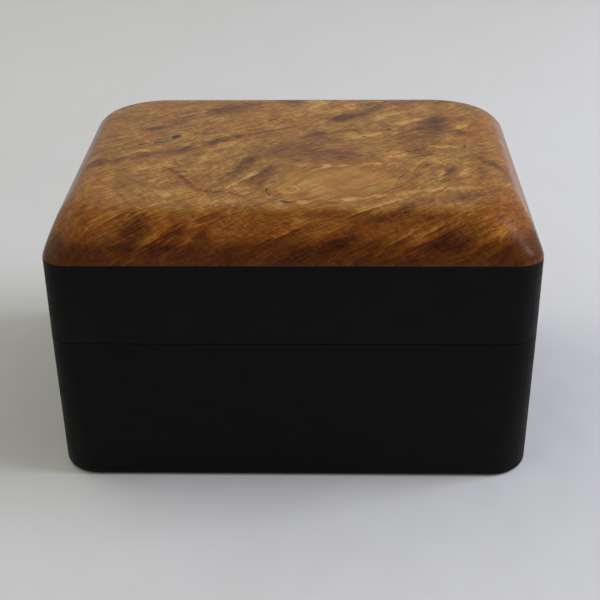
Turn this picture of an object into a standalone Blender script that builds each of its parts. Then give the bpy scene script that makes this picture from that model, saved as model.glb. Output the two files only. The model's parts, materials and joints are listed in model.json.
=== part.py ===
"""A hinged wooden keepsake box: black mitred walls under a thick lid top of burl wood.

Metres, +Z up. X runs along the width, the front faces -Y, and the origin is at the centre of the
underside. The box is made as a closed carcass that is sawn apart at the seam, so the lid has its own
four rails. Two brass butt hinges sit in a V along the back edge, and its bevels meet as the lid's stop.
"""

import math

import bmesh
import bpy
from mathutils import Matrix, Vector

# Driving dimensions
BOX_WIDTH = 0.152
BOX_DEPTH = 0.1125
SEAM_HEIGHT = 0.0498
GLUE_HEIGHT = 0.0767
TOP_THICKNESS = 0.0159
WALL = 0.012
FOOT_CORNER_RADIUS = 0.012
SEAM_CORNER_RADIUS = 0.009
GLUE_CORNER_RADIUS = 0.0086
UNDERSIDE_ROUND = 0.002

# Clearances
GAP = 0.0003
METAL_GAP = 0.00012

# Bottom panel, glued into a rebate and flush with the underside
PANEL_THICKNESS = 0.005
REBATE = 0.005

# Splines glued across each mitre
SPLINE_WIDTH = 0.009
SPLINE_THICKNESS = 0.0024
SPLINE_FROM_INNER_CORNER = 0.006
SPLINE_BOTTOM = 0.010

# Lining boards and pads
LINING = 0.0016
LINING_BELOW_RIM = 0.003
PAD_THICKNESS = 0.0034
EASED_SHARE = 0.3

# Hinges
AXIS_INSET = 0.003
STOP_BEVEL = math.radians(50)
HINGE_OFFSET_X = 0.040
HINGE_LENGTH = 0.026
KNUCKLES = 5
KNUCKLE_RADIUS = 0.0022
PIN_RADIUS = 0.0010
PIN_HEAD_RADIUS = 0.0016
PIN_HEAD_LENGTH = 0.0008
PIN_HEAD_CROWN = 0.0003
LEAF_THICKNESS = 0.0014
LEAF_REACH = 0.0078
SCREW_SPACING = 0.0085
SCREW_FROM_AXIS = 0.0048
SCREW_LENGTH = 0.0085
SCREW_RADIUS = 0.0010
SCREW_HEAD_RADIUS = 0.0019
SCREW_HEAD_DEPTH = 0.0010
SCREW_HEAD_RIM = 0.0002
SCREW_POINT = 0.0025
SCREW_RECESS = 0.00005
SLOT_WIDTH = 0.0005
SLOT_DEPTH = 0.0005

# Edge of the lid top: (inset from the walls, height above the glue line, plan corner radius). A
# rounded band at the bottom, then a steep facet, then the flat top
TOP_EDGE = (
    (0.0000, 0.0000, 0.0086),
    (0.0005, 0.0026, 0.0088),
    (0.0017, 0.0057, 0.0094),
    (0.0034, 0.0083, 0.0102),
    (0.0068, 0.0141, 0.0165),
    (0.0080, 0.0151, 0.0185),
    (0.0100, 0.0155, 0.0200),
)
CROWN_RINGS = 1
CROWN_MIDDLE = 0.030

# Derived places
HALF_WIDTH = BOX_WIDTH / 2
HALF_DEPTH = BOX_DEPTH / 2
INNER_HALF_WIDTH = HALF_WIDTH - WALL
INNER_HALF_DEPTH = HALF_DEPTH - WALL
BASE_RIM = SEAM_HEIGHT - GAP / 2
LID_RIM = SEAM_HEIGHT + GAP / 2
FLOOR = PANEL_THICKNESS
AXIS_Y = HALF_DEPTH - AXIS_INSET
AXIS = Vector((0, AXIS_Y, SEAM_HEIGHT))
KNUCKLE_PITCH = HINGE_LENGTH / KNUCKLES
LEAF_FACE = -GAP / 2

# Mesh detail, and how far a cutter runs past what it cuts
CORNER_SEGMENTS = 6
FOOT_SEGMENTS = 4
ROUND_SIDES = 16
CUTTER_OVERSHOOT = 0.01


def clear_scene():
    for obj in list(bpy.data.objects):
        bpy.data.objects.remove(obj)


def new_collection(name):
    collection = bpy.data.collections.new(name)
    bpy.context.scene.collection.children.link(collection)
    return collection


def new_material(name, colour, roughness, metallic=0.0):
    material = bpy.data.materials.new(name)
    material.use_nodes = True
    shader = material.node_tree.nodes["Principled BSDF"]
    shader.inputs["Base Color"].default_value = (*colour, 1.0)
    shader.inputs["Roughness"].default_value = roughness
    shader.inputs["Metallic"].default_value = metallic
    return material


clear_scene()
PARTS = new_collection("keepsake_box")
CUTTERS = new_collection("cutters")
LID_PIVOT = bpy.data.objects.new("lid_pivot", None)
LID_PIVOT.location = AXIS
PARTS.objects.link(LID_PIVOT)

BLACK_WOOD = new_material("black_wood", (0.012, 0.012, 0.012), 0.5)
BURL_WOOD = new_material("burl_wood", (0.42, 0.20, 0.06), 0.35)
PLYWOOD = new_material("plywood", (0.58, 0.43, 0.27), 0.6)
SPLINE_WOOD = new_material("spline_wood", (0.45, 0.30, 0.17), 0.6)
SUEDE = new_material("suede", (0.16, 0.085, 0.04), 0.95)
BRASS = new_material("brass", (0.78, 0.57, 0.25), 0.3, 1.0)


def add_object(name, mesh, material=None, location=(0, 0, 0), on_lid=False):
    """Puts a mesh in the parts collection, shaded smooth across its gentle edges only."""
    mesh.shade_smooth()
    mesh.set_sharp_from_angle(angle=math.radians(32))
    obj = bpy.data.objects.new(name, mesh)
    obj.location = location
    PARTS.objects.link(obj)
    if material and not mesh.materials:
        mesh.materials.append(material)
    if on_lid:
        obj.parent = LID_PIVOT
        obj.matrix_parent_inverse = Matrix.Translation(AXIS).inverted()
    return obj


def as_cutter(obj):
    """Makes an object a hidden tool for Booleans."""
    for collection in list(obj.users_collection):
        collection.objects.unlink(obj)
    CUTTERS.objects.link(obj)
    obj.hide_render = True
    obj.display_type = "WIRE"
    return obj


def mesh_of(bm, name):
    mesh = bpy.data.meshes.new(name)
    bmesh.ops.recalc_face_normals(bm, faces=bm.faces)
    bm.to_mesh(mesh)
    bm.free()
    return mesh


def block_mesh(name, size):
    bm = bmesh.new()
    bmesh.ops.create_cube(bm, size=1.0)
    bmesh.ops.scale(bm, vec=Vector(size), verts=bm.verts)
    return mesh_of(bm, name)


def rod_mesh(name, radius, length):
    """A cylinder along X, centred."""
    bm = bmesh.new()
    bmesh.ops.create_cone(
        bm, cap_ends=True, segments=ROUND_SIDES, radius1=radius, radius2=radius, depth=length
    )
    bmesh.ops.rotate(bm, verts=bm.verts, matrix=Matrix.Rotation(math.radians(90), 3, "Y"))
    return mesh_of(bm, name)


def box_cutter(name, low, high):
    low, high = Vector(low), Vector(high)
    obj = bpy.data.objects.new(name, block_mesh(name, high - low))
    obj.location = (low + high) / 2
    return as_cutter(obj)


def rod_cutter(name, centre, radius, length):
    obj = bpy.data.objects.new(name, rod_mesh(name, radius, length))
    obj.location = centre
    return as_cutter(obj)


def combine(obj, operation, *tools):
    for tool in tools:
        modifier = obj.modifiers.new(f"{operation.lower()}_{tool.name}", "BOOLEAN")
        modifier.operation = operation
        modifier.solver = "EXACT"
        modifier.object = tool
    return obj


def cut(obj, *tools):
    return combine(obj, "DIFFERENCE", *tools)


def finished_mesh(obj, name):
    """The evaluated mesh of a template, which is then removed, for copies that share it."""
    bpy.context.view_layer.update()
    graph = bpy.context.evaluated_depsgraph_get()
    mesh = bpy.data.meshes.new_from_object(obj.evaluated_get(graph))
    mesh.transform(obj.matrix_world)
    mesh.name = name
    bpy.data.objects.remove(obj)
    return mesh


# Walls and rails


def rounded_ring(bm, half_x, half_y, radius, z):
    """One closed ring of vertices around a rectangle with round corners."""
    ring = []
    for quarter, (sx, sy) in enumerate(((1, 1), (-1, 1), (-1, -1), (1, -1))):
        centre = Vector((sx * (half_x - radius), sy * (half_y - radius), z))
        for step in range(CORNER_SEGMENTS + 1):
            angle = math.radians(90) * (quarter + step / CORNER_SEGMENTS)
            offset = Vector((math.cos(angle), math.sin(angle), 0)) * radius
            ring.append(bm.verts.new(centre + offset))
    return ring


def bridge(bm, lower, upper):
    count = len(lower)
    for i in range(count):
        j = (i + 1) % count
        bm.faces.new((lower[i], lower[j], upper[j], upper[i]))


def loft(name, sections):
    """A closed solid through rounded rings, each (inset from the walls, height, plan corner radius)."""
    bm = bmesh.new()
    rings = [
        rounded_ring(bm, HALF_WIDTH - inset, HALF_DEPTH - inset, radius, height)
        for inset, height, radius in sections
    ]
    for lower, upper in zip(rings, rings[1:]):
        bridge(bm, lower, upper)
    bm.faces.new(reversed(rings[0]))
    bm.faces.new(rings[-1])
    return mesh_of(bm, name)


def base_sections():
    """The base's outer form: corners that are fuller at the foot, and a rounded underside."""
    sections = []
    for step in range(FOOT_SEGMENTS + 1):
        angle = math.radians(90) * step / FOOT_SEGMENTS
        inset = UNDERSIDE_ROUND * (1 - math.sin(angle))
        height = UNDERSIDE_ROUND * (1 - math.cos(angle))
        sections.append((inset, height, FOOT_CORNER_RADIUS - inset))
    sections.append((0.0, BASE_RIM, SEAM_CORNER_RADIUS))
    return sections


def lid_sections():
    top = GLUE_HEIGHT - GAP / 2
    return [(0.0, LID_RIM, SEAM_CORNER_RADIUS), (0.0, top, GLUE_CORNER_RADIUS)]


def mitre_cutter(name, corner, away):
    """A block whose face lies on the mitre plane of a corner, and which reaches the way of `away`."""
    reach = 2 * BOX_WIDTH
    normal = Vector((*away, 0)).normalized()
    at_corner = Vector((corner[0] * HALF_WIDTH, corner[1] * HALF_DEPTH, 0))
    obj = bpy.data.objects.new(name, block_mesh(name, (reach, reach, reach)))
    obj.location = at_corner + normal * (reach / 2 - GAP / 2)
    obj.rotation_euler.z = math.radians(45)
    return as_cutter(obj)


# The corners at the two ends of each side, and the way that each mitre cuts material off it
SIDES = {
    "front": (((1, -1), (1, 1)), ((-1, -1), (-1, 1))),
    "back": (((1, 1), (1, -1)), ((-1, 1), (-1, -1))),
    "left": (((-1, -1), (1, -1)), ((-1, 1), (1, 1))),
    "right": (((1, -1), (-1, -1)), ((1, 1), (-1, 1))),
}
CORNERS = {
    "front_left": (-1, -1),
    "front_right": (1, -1),
    "back_left": (-1, 1),
    "back_right": (1, 1),
}


def spline_frame(sign_x, sign_y):
    """Centre in plan and turn about Z of the spline in one corner."""
    step = SPLINE_FROM_INNER_CORNER / math.sqrt(2)
    x = sign_x * (INNER_HALF_WIDTH + step)
    y = sign_y * (INNER_HALF_DEPTH + step)
    return x, y, math.atan2(sign_y, sign_x)


def spline(name, corner, bottom, top, on_lid):
    x, y, turn = spline_frame(*corner)
    mesh = block_mesh(name, (SPLINE_THICKNESS, SPLINE_WIDTH, top - bottom))
    obj = add_object(name, mesh, SPLINE_WOOD, (x, y, (bottom + top) / 2), on_lid)
    obj.rotation_euler.z = turn
    return obj


def spline_slot(name, corner, bottom, top):
    x, y, turn = spline_frame(*corner)
    size = (SPLINE_THICKNESS + 2 * GAP, SPLINE_WIDTH + 2 * GAP, top - bottom)
    obj = bpy.data.objects.new(name, block_mesh(name, size))
    obj.location = (x, y, (bottom + top) / 2)
    obj.rotation_euler.z = turn
    return as_cutter(obj)


def ring_of_walls(prefix, noun, sections, slot_span, on_lid):
    """Four mitred walls cut from one outer form, with slots for the splines."""
    bottom, top = sections[0][1], sections[-1][1]
    cavity = box_cutter(
        f"{prefix}_cavity",
        (-INNER_HALF_WIDTH, -INNER_HALF_DEPTH, bottom - CUTTER_OVERSHOOT),
        (INNER_HALF_WIDTH, INNER_HALF_DEPTH, top + CUTTER_OVERSHOOT),
    )
    slots = {
        corner: spline_slot(f"{prefix}_slot_{corner}", signs, *slot_span)
        for corner, signs in CORNERS.items()
    }
    walls = {}
    for side, ends in SIDES.items():
        name = f"{prefix}_{side}_{noun}"
        wall = add_object(name, loft(name, sections), BLACK_WOOD, on_lid=on_lid)
        mitres = [mitre_cutter(f"{name}_mitre", corner, away) for corner, away in ends]
        cut(wall, cavity, *mitres)
        cut(wall, *(slots[corner] for corner in CORNERS if side in corner.split("_")))
        walls[side] = wall
    return walls


def base_walls():
    walls = ring_of_walls(
        "base",
        "wall",
        base_sections(),
        (SPLINE_BOTTOM - GAP, BASE_RIM + CUTTER_OVERSHOOT),
        on_lid=False,
    )
    reach_x = INNER_HALF_WIDTH + REBATE
    reach_y = INNER_HALF_DEPTH + REBATE
    rebate = box_cutter(
        "panel_rebate",
        (-reach_x, -reach_y, -CUTTER_OVERSHOOT),
        (reach_x, reach_y, PANEL_THICKNESS + GAP),
    )
    for wall in walls.values():
        cut(wall, rebate)
    for corner, signs in CORNERS.items():
        spline(f"base_spline_{corner}", signs, SPLINE_BOTTOM, BASE_RIM, on_lid=False)
    return walls


def lid_rails():
    top = GLUE_HEIGHT - GAP / 2
    rails = ring_of_walls(
        "lid",
        "rail",
        lid_sections(),
        (LID_RIM - CUTTER_OVERSHOOT, top + CUTTER_OVERSHOOT),
        on_lid=True,
    )
    for corner, signs in CORNERS.items():
        spline(f"lid_spline_{corner}", signs, LID_RIM, top, on_lid=True)
    return rails


def bottom_panel():
    reach_x = INNER_HALF_WIDTH + REBATE - GAP
    reach_y = INNER_HALF_DEPTH + REBATE - GAP
    mesh = block_mesh("bottom_panel", (2 * reach_x, 2 * reach_y, PANEL_THICKNESS))
    return add_object("bottom_panel", mesh, PLYWOOD, (0, 0, PANEL_THICKNESS / 2))


# Lid top


def lid_top():
    """The thick top: a rounded band, a steep facet and a flat face with a slight crown."""
    base = GLUE_HEIGHT + GAP / 2
    edge_inset, edge_height, edge_radius = TOP_EDGE[-1]
    sections = [(inset, base + height, radius) for inset, height, radius in TOP_EDGE]
    crown = TOP_THICKNESS - GAP / 2 - edge_height
    for step in range(1, CROWN_RINGS + 1):
        share = step / (CROWN_RINGS + 1)
        sections.append(
            (
                edge_inset + (HALF_DEPTH - edge_inset - CROWN_MIDDLE) * share,
                base + edge_height + crown * share * (2 - share),
                edge_radius,
            )
        )
    sections.append((HALF_DEPTH - CROWN_MIDDLE, base + edge_height + crown, CROWN_MIDDLE / 2))
    return add_object("lid_top", loft("lid_top", sections), BURL_WOOD, on_lid=True)


# Lining


def board(name, low, high, on_lid):
    """A lining board or pad with its long edges eased by the suede that wraps it."""
    low, high = Vector(low), Vector(high)
    size = high - low
    obj = add_object(name, block_mesh(name, size), SUEDE, (low + high) / 2, on_lid)
    bevel = obj.modifiers.new("eased_edges", "BEVEL")
    bevel.width = min(size) * EASED_SHARE
    return obj


def lining(prefix, bottom, top, pad_bottom, on_lid):
    """Four suede-covered boards against the walls, and a pad between them."""
    long_x = INNER_HALF_WIDTH - GAP
    face_y = INNER_HALF_DEPTH - GAP
    short_y = face_y - LINING - GAP
    pad_x = long_x - LINING - GAP
    for side, sign in (("front", -1), ("back", 1)):
        near, far = sorted((sign * face_y, sign * (face_y - LINING)))
        board(f"{prefix}_lining_{side}", (-long_x, near, bottom), (long_x, far, top), on_lid)
    for side, sign in (("left", -1), ("right", 1)):
        near, far = sorted((sign * long_x, sign * (long_x - LINING)))
        board(f"{prefix}_lining_{side}", (near, -short_y, bottom), (far, short_y, top), on_lid)
    board(
        f"{prefix}_pad",
        (-pad_x, -short_y, pad_bottom),
        (pad_x, short_y, pad_bottom + PAD_THICKNESS),
        on_lid,
    )


# Hinges, modelled with the pin on the X axis and the leaf flat below it, reaching towards -Y


def knuckle_centres(first):
    """X of every second knuckle, starting from the one with this index."""
    return [(i + 0.5) * KNUCKLE_PITCH - HINGE_LENGTH / 2 for i in range(first, KNUCKLES, 2)]


def screw_places():
    return [i * SCREW_SPACING for i in (-1, 0, 1)]


def leaf_mesh(name, own_first, other_first):
    """A leaf with its own knuckles, notches for the other leaf's, a pin bore and countersinks."""
    plate = bpy.data.objects.new(
        name, block_mesh(name, (HINGE_LENGTH, LEAF_REACH, LEAF_THICKNESS))
    )
    PARTS.objects.link(plate)
    plate.location = (0, -LEAF_REACH / 2, LEAF_FACE - LEAF_THICKNESS / 2)
    for x in knuckle_centres(other_first):
        width = KNUCKLE_PITCH + 2 * METAL_GAP
        cut(plate, rod_cutter("notch", (x, 0, 0), KNUCKLE_RADIUS + 2 * METAL_GAP, width))
    for x in knuckle_centres(own_first):
        knuckle = rod_cutter("knuckle", (x, 0, 0), KNUCKLE_RADIUS, KNUCKLE_PITCH - METAL_GAP)
        combine(plate, "UNION", knuckle)
    cut(plate, rod_cutter("bore", (0, 0, 0), PIN_RADIUS + METAL_GAP, HINGE_LENGTH * 1.5))
    for x in screw_places():
        cut(plate, countersink_cutter(x))
    return finished_mesh(plate, name)


def countersink_cutter(x):
    """The clearance for one screw: a straight hole for the shank under a cone for the head."""
    hole = SCREW_RADIUS + METAL_GAP
    head = SCREW_HEAD_RADIUS + METAL_GAP
    outline = (
        (0.0, CUTTER_OVERSHOOT),
        (head, CUTTER_OVERSHOOT),
        (head, -SCREW_HEAD_RIM),
        (hole, -SCREW_HEAD_DEPTH - METAL_GAP),
        (hole, -CUTTER_OVERSHOOT),
        (0.0, -CUTTER_OVERSHOOT),
    )
    obj = bpy.data.objects.new("countersink", turned_mesh("countersink", outline))
    obj.location = (x, -SCREW_FROM_AXIS, LEAF_FACE)
    return as_cutter(obj)


def pin_mesh():
    """The hinge pin with a small head at each end, turned about X."""
    half = HINGE_LENGTH / 2 + METAL_GAP
    end = half + PIN_HEAD_LENGTH
    right_half = [
        (0.0, end),
        (PIN_HEAD_RADIUS - PIN_HEAD_CROWN, end),
        (PIN_HEAD_RADIUS, end - PIN_HEAD_CROWN),
        (PIN_HEAD_RADIUS, half),
        (PIN_RADIUS, half),
    ]
    outline = right_half + [(radius, -x) for radius, x in reversed(right_half)]
    return turned_mesh("hinge_pin", outline, turn_to_x=True)


def turned_mesh(name, outline, turn_to_x=False):
    """A solid of revolution from (radius, height) points that run down its outer side."""
    bm = bmesh.new()
    verts = [bm.verts.new((r, 0, z)) for r, z in outline]
    for a, b in zip(verts, verts[1:]):
        bm.edges.new((a, b))
    mesh = bpy.data.meshes.new(name)
    bm.to_mesh(mesh)
    bm.free()
    obj = bpy.data.objects.new(name, mesh)
    PARTS.objects.link(obj)
    screw = obj.modifiers.new("turn", "SCREW")
    screw.axis = "Z"
    screw.steps = screw.render_steps = ROUND_SIDES
    screw.use_merge_vertices = True
    screw.merge_threshold = 0.00001
    turned = finished_mesh(obj, name)
    if turn_to_x:
        turned.transform(Matrix.Rotation(math.radians(90), 4, "Y"))
    return turned


def screw_mesh():
    """A countersunk slotted wood screw, its head's face at the origin and its point down."""
    outline = (
        (0.0, 0.0),
        (SCREW_HEAD_RADIUS, 0.0),
        (SCREW_HEAD_RADIUS, -SCREW_HEAD_RIM),
        (SCREW_RADIUS, -SCREW_HEAD_DEPTH),
        (SCREW_RADIUS, -SCREW_LENGTH + SCREW_POINT),
        (0.0, -SCREW_LENGTH),
    )
    blank = bpy.data.objects.new("screw_blank", turned_mesh("screw_blank", outline))
    PARTS.objects.link(blank)
    slot = box_cutter(
        "screw_slot",
        (-SCREW_HEAD_RADIUS * 2, -SLOT_WIDTH / 2, -SLOT_DEPTH),
        (SCREW_HEAD_RADIUS * 2, SLOT_WIDTH / 2, CUTTER_OVERSHOOT),
    )
    cut(blank, slot)
    return finished_mesh(blank, "hinge_screw")


def hinges():
    """Both hinges with their pins and screws. The lid's leaf is modelled as a base leaf and mirrored."""
    base_leaf = leaf_mesh("base_leaf", own_first=0, other_first=1)
    lid_leaf = leaf_mesh("lid_leaf", own_first=1, other_first=0)
    lid_leaf.transform(Matrix.Scale(-1, 4, (0, 0, 1)))
    lid_leaf.flip_normals()
    pin = pin_mesh()
    screw = screw_mesh()
    for side, sign in (("left", -1), ("right", 1)):
        centre = AXIS + Vector((sign * HINGE_OFFSET_X, 0, 0))
        add_object(f"hinge_{side}_base_leaf", base_leaf, BRASS, centre)
        add_object(f"hinge_{side}_lid_leaf", lid_leaf, BRASS, centre, on_lid=True)
        add_object(f"hinge_{side}_pin", pin, BRASS, centre)
        for number, x in enumerate(screw_places(), start=1):
            drop = Vector((0, 0, LEAF_FACE - SCREW_RECESS))
            place = centre + Vector((x, -SCREW_FROM_AXIS, 0))
            add_object(f"hinge_{side}_base_screw_{number}", screw, BRASS, place + drop)
            name = f"hinge_{side}_lid_screw_{number}"
            upside_down = add_object(name, screw, BRASS, place - drop, on_lid=True)
            upside_down.rotation_euler.x = math.radians(180)


def stop_bevel_cutter(name, towards_lid):
    """A block with one edge on the hinge axis, turned so that its face cuts the stop bevel."""
    bm = bmesh.new()
    bmesh.ops.create_cube(bm, size=1.0)
    bmesh.ops.translate(bm, vec=Vector((0, 0.5, 0.5)), verts=bm.verts)
    depth = AXIS_INSET + CUTTER_OVERSHOOT
    bmesh.ops.scale(bm, vec=Vector((BOX_WIDTH * 1.2, depth, depth)), verts=bm.verts)
    obj = bpy.data.objects.new(name, mesh_of(bm, name))
    obj.location = AXIS
    turn = math.radians(-90) + STOP_BEVEL if towards_lid else -STOP_BEVEL
    obj.rotation_euler.x = turn
    return as_cutter(obj)


def bevel_back_edges(walls, rails):
    """Cuts the V behind the hinge axis into every piece that reaches past it."""
    base_cutter = stop_bevel_cutter("base_stop_bevel", towards_lid=False)
    lid_cutter = stop_bevel_cutter("lid_stop_bevel", towards_lid=True)
    for side in ("back", "left", "right"):
        cut(walls[side], base_cutter)
        cut(rails[side], lid_cutter)


def pilot_cutter(name, centre):
    """An upright hole for a base screw and the lid screw above it."""
    length = 2 * (SCREW_LENGTH + SCREW_RECESS - LEAF_FACE + GAP)
    obj = rod_cutter(name, centre, SCREW_RADIUS + METAL_GAP, length)
    obj.rotation_euler.y = math.radians(90)
    return obj


def seat_hinges(base_back, lid_back):
    """Cuts the leaf mortises, barrel grooves and pilot holes in the two back pieces."""
    barrel_length = HINGE_LENGTH + 2 * (PIN_HEAD_LENGTH + METAL_GAP + GAP)
    mortise_depth = LEAF_THICKNESS - LEAF_FACE + METAL_GAP * 2
    for side, sign in (("left", -1), ("right", 1)):
        centre = AXIS + Vector((sign * HINGE_OFFSET_X, 0, 0))
        barrel = rod_cutter(f"barrel_groove_{side}", centre, KNUCKLE_RADIUS + GAP, barrel_length)
        half = HINGE_LENGTH / 2 + METAL_GAP * 2
        reach = LEAF_REACH + METAL_GAP * 2
        mortise = box_cutter(
            f"leaf_mortise_{side}",
            centre + Vector((-half, -reach, -mortise_depth)),
            centre + Vector((half, 0, mortise_depth)),
        )
        cut(base_back, barrel, mortise)
        cut(lid_back, barrel, mortise)
        for x in screw_places():
            pilot = pilot_cutter(f"pilot_{side}", centre + Vector((x, -SCREW_FROM_AXIS, 0)))
            cut(base_back, pilot)
            cut(lid_back, pilot)


def main():
    walls = base_walls()
    rails = lid_rails()
    bevel_back_edges(walls, rails)
    seat_hinges(walls["back"], rails["back"])
    bottom_panel()
    lid_top()
    lining(
        "base",
        bottom=FLOOR + GAP,
        top=BASE_RIM - LINING_BELOW_RIM,
        pad_bottom=FLOOR + GAP,
        on_lid=False,
    )
    lining(
        "lid",
        bottom=LID_RIM + LINING_BELOW_RIM,
        top=GLUE_HEIGHT - GAP,
        pad_bottom=GLUE_HEIGHT - GAP - PAD_THICKNESS,
        on_lid=True,
    )
    hinges()


main()
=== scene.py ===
"""Looks for the keepsake box: a burl slab on a matte black box, lined in suede, on brass hinges.

Every fine piece stands where its CAD node is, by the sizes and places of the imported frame. Lengths are
in metres, except in the burl's tables and inside the materials, which are in millimetres.
"""

import json
import math

import bmesh
import bpy
import numpy as np
from mathutils import Matrix, Vector


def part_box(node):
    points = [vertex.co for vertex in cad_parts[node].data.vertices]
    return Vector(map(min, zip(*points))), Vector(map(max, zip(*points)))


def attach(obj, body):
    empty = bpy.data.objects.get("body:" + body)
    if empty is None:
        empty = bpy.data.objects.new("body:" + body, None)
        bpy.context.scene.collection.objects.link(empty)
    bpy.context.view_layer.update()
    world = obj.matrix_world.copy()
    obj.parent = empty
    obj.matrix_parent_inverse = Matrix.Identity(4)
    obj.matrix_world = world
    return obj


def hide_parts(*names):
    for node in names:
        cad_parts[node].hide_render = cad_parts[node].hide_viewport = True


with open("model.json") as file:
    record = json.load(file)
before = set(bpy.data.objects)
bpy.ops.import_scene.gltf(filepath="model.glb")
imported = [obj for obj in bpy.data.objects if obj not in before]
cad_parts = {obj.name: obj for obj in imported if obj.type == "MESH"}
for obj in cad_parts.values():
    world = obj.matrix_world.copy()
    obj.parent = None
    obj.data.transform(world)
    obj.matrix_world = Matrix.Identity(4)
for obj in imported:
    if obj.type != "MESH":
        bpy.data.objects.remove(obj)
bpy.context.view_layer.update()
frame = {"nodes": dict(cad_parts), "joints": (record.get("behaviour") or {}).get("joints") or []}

# ---------------------------------------------------------------- sizes read from the frame

TOP_LOW, TOP_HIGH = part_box("lid_top")
RAIL_LOW, RAIL_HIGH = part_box("lid_front_rail")
WALL_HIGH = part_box("base_front_wall")[1]
PANEL_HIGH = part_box("bottom_panel")[1]
HALF_WIDTH = TOP_HIGH.x
HALF_DEPTH = TOP_HIGH.y
SEAM = (WALL_HIGH.z + RAIL_LOW.z) / 2
GLUE = (RAIL_HIGH.z + TOP_LOW.z) / 2
AXIS = Vector(frame["joints"][0]["pos_m"])

# ---------------------------------------------------------------- sizes that the frame doesn't hold

# Walls and rails. The corner radii are at the foot, the seam and the glue line
WALL = 0.012
WALL_CORNERS = ((0.0, 0.0120), (0.0498, 0.0090), (0.0767, 0.0086))
INNER_CORNER = 0.00005
FOOT_RADIUS = 0.0020
EASED = 0.0004
SEAM_EASED = 0.00012
STOP_BEVEL = math.radians(50)
SPLINE_THICKNESS = 0.0024
SPLINE_WIDTH = 0.009
PAST_RIM = 0.004

# The line between pieces that are glued, the seam that shows, and the gap between two closed hinge leaves
HAIR = 0.00002
SEAM_LINE = 0.00014
LEAF_GAP = 0.0003

# Hinges, with the room that each moving fit has
HINGE_OFFSET_X = 0.040
HINGE_LENGTH = 0.026
KNUCKLES = 5
KNUCKLE_PITCH = HINGE_LENGTH / KNUCKLES
KNUCKLE_RADIUS = 0.0022
KNUCKLE_CHAMFER = 0.00015
KNUCKLE_ROOM = 0.00006
NOTCH_ROOM = 0.00024
LEAF_THICKNESS = 0.0014
LEAF_REACH = 0.0078
LEAF_CORNER = 0.0009
LEAF_EASED = 0.00012
PIN_RADIUS = 0.0010
PIN_ROOM = 0.00008
PIN_HEAD_RADIUS = 0.0016
PIN_HEAD_LENGTH = 0.0008
SCREW_SPACING = 0.0085
SCREW_FROM_AXIS = 0.0048
SCREW_RADIUS = 0.0010
SCREW_HEAD_RADIUS = 0.0019
SCREW_SUNK = 0.00005
SCREW_ROOM = 0.0001
SCREW_HEAD_ROOM = 0.00008
BARREL_SEAT_ROOM = 0.0003
BARREL_SEAT_ENDS = 0.0012
LEAF_SEAT_ROOM = 0.0002
LEAF_SEAT_DEPTH = LEAF_THICKNESS + 0.0004

# Lining boards and pads: corner radius in plan, edge radius and crown
SLAB_CORNER = 0.0006
SLAB_EDGE_STEPS = 5
BOARD_EDGE = 0.0007
BOARD_CROWN = 0.00025
PAD_EDGE = 0.0012
PAD_CROWN = 0.0002

# The pads' cloth, with the room they are left to swell into
PAD_MARGIN = 0.0005
PAD_VOXEL = 0.0012
PAD_ROOM = 0.0005
PAD_FRAMES = 20
PAD_PRESSURE = 4

# How finely the rings are divided: steps round a corner, and spans along the long and the short sides
CORNER_STEPS = 12
RING_SPANS = (24, 18)

CORNERS = ("front_left", "front_right", "back_left", "back_right")
SIDES = {
    "front": ((-1, -1), (1, -1)),
    "right": ((1, -1), (1, 1)),
    "back": ((1, 1), (-1, 1)),
    "left": ((-1, 1), (-1, -1)),
}
INWARD = {
    "front": Vector((0, 1, 0)),
    "back": Vector((0, -1, 0)),
    "left": Vector((1, 0, 0)),
    "right": Vector((-1, 0, 0)),
}


# ---------------------------------------------------------------- mesh helpers


def new_object(name, bm, smooth_degrees=35):
    """Makes an object of a bmesh, with outward faces, smooth across gentle edges."""
    bmesh.ops.recalc_face_normals(bm, faces=bm.faces)
    mesh = bpy.data.meshes.new(name)
    bm.to_mesh(mesh)
    bm.free()
    mesh.shade_smooth()
    mesh.set_sharp_from_angle(angle=math.radians(smooth_degrees))
    obj = bpy.data.objects.new(name, mesh)
    bpy.context.scene.collection.objects.link(obj)
    return obj


def applied(obj, smooth_degrees=35):
    """Replaces the object's mesh by its evaluated one and drops its modifiers."""
    bpy.context.view_layer.update()
    graph = bpy.context.evaluated_depsgraph_get()
    mesh = bpy.data.meshes.new_from_object(obj.evaluated_get(graph))
    obj.modifiers.clear()
    obj.data = mesh
    mesh.shade_smooth()
    mesh.set_sharp_from_angle(angle=math.radians(smooth_degrees))
    return obj


def rounded_ring(bm, half_x, half_y, radius, z, middle=(0, 0)):
    """A closed ring of vertices round a rectangle with round corners, anticlockwise from above."""
    corners = []
    for quarter, (sign_x, sign_y) in enumerate(((1, 1), (-1, 1), (-1, -1), (1, -1))):
        centre = Vector((sign_x * (half_x - radius), sign_y * (half_y - radius), z))
        angles = [math.radians(90) * (quarter + step / CORNER_STEPS) for step in range(CORNER_STEPS + 1)]
        corners.append([centre + Vector((math.cos(a), math.sin(a), 0)) * radius for a in angles])
    ring = []
    for quarter, corner in enumerate(corners):
        end = corners[(quarter + 1) % 4][0]
        spans = RING_SPANS[quarter % 2]
        ring += corner
        ring += [corner[-1].lerp(end, i / spans) for i in range(1, spans)]
    shift = Vector((*middle, 0))
    return [bm.verts.new(point + shift) for point in ring]


def bridge(bm, lower, upper):
    """Joins two rings of vertices by a band of faces."""
    for i in range(len(lower)):
        j = (i + 1) % len(lower)
        bm.faces.new((lower[i], lower[j], upper[j], upper[i]))


def corner_cut(points, rounds):
    """Rounds an open line of points by cutting its corners, and keeps its ends."""
    for _ in range(rounds):
        cut = [points[0]]
        for a, b in zip(points, points[1:]):
            cut.append(a + (b - a) * 0.25)
            cut.append(a + (b - a) * 0.75)
        cut.append(points[-1])
        points = cut
    return points


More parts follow.
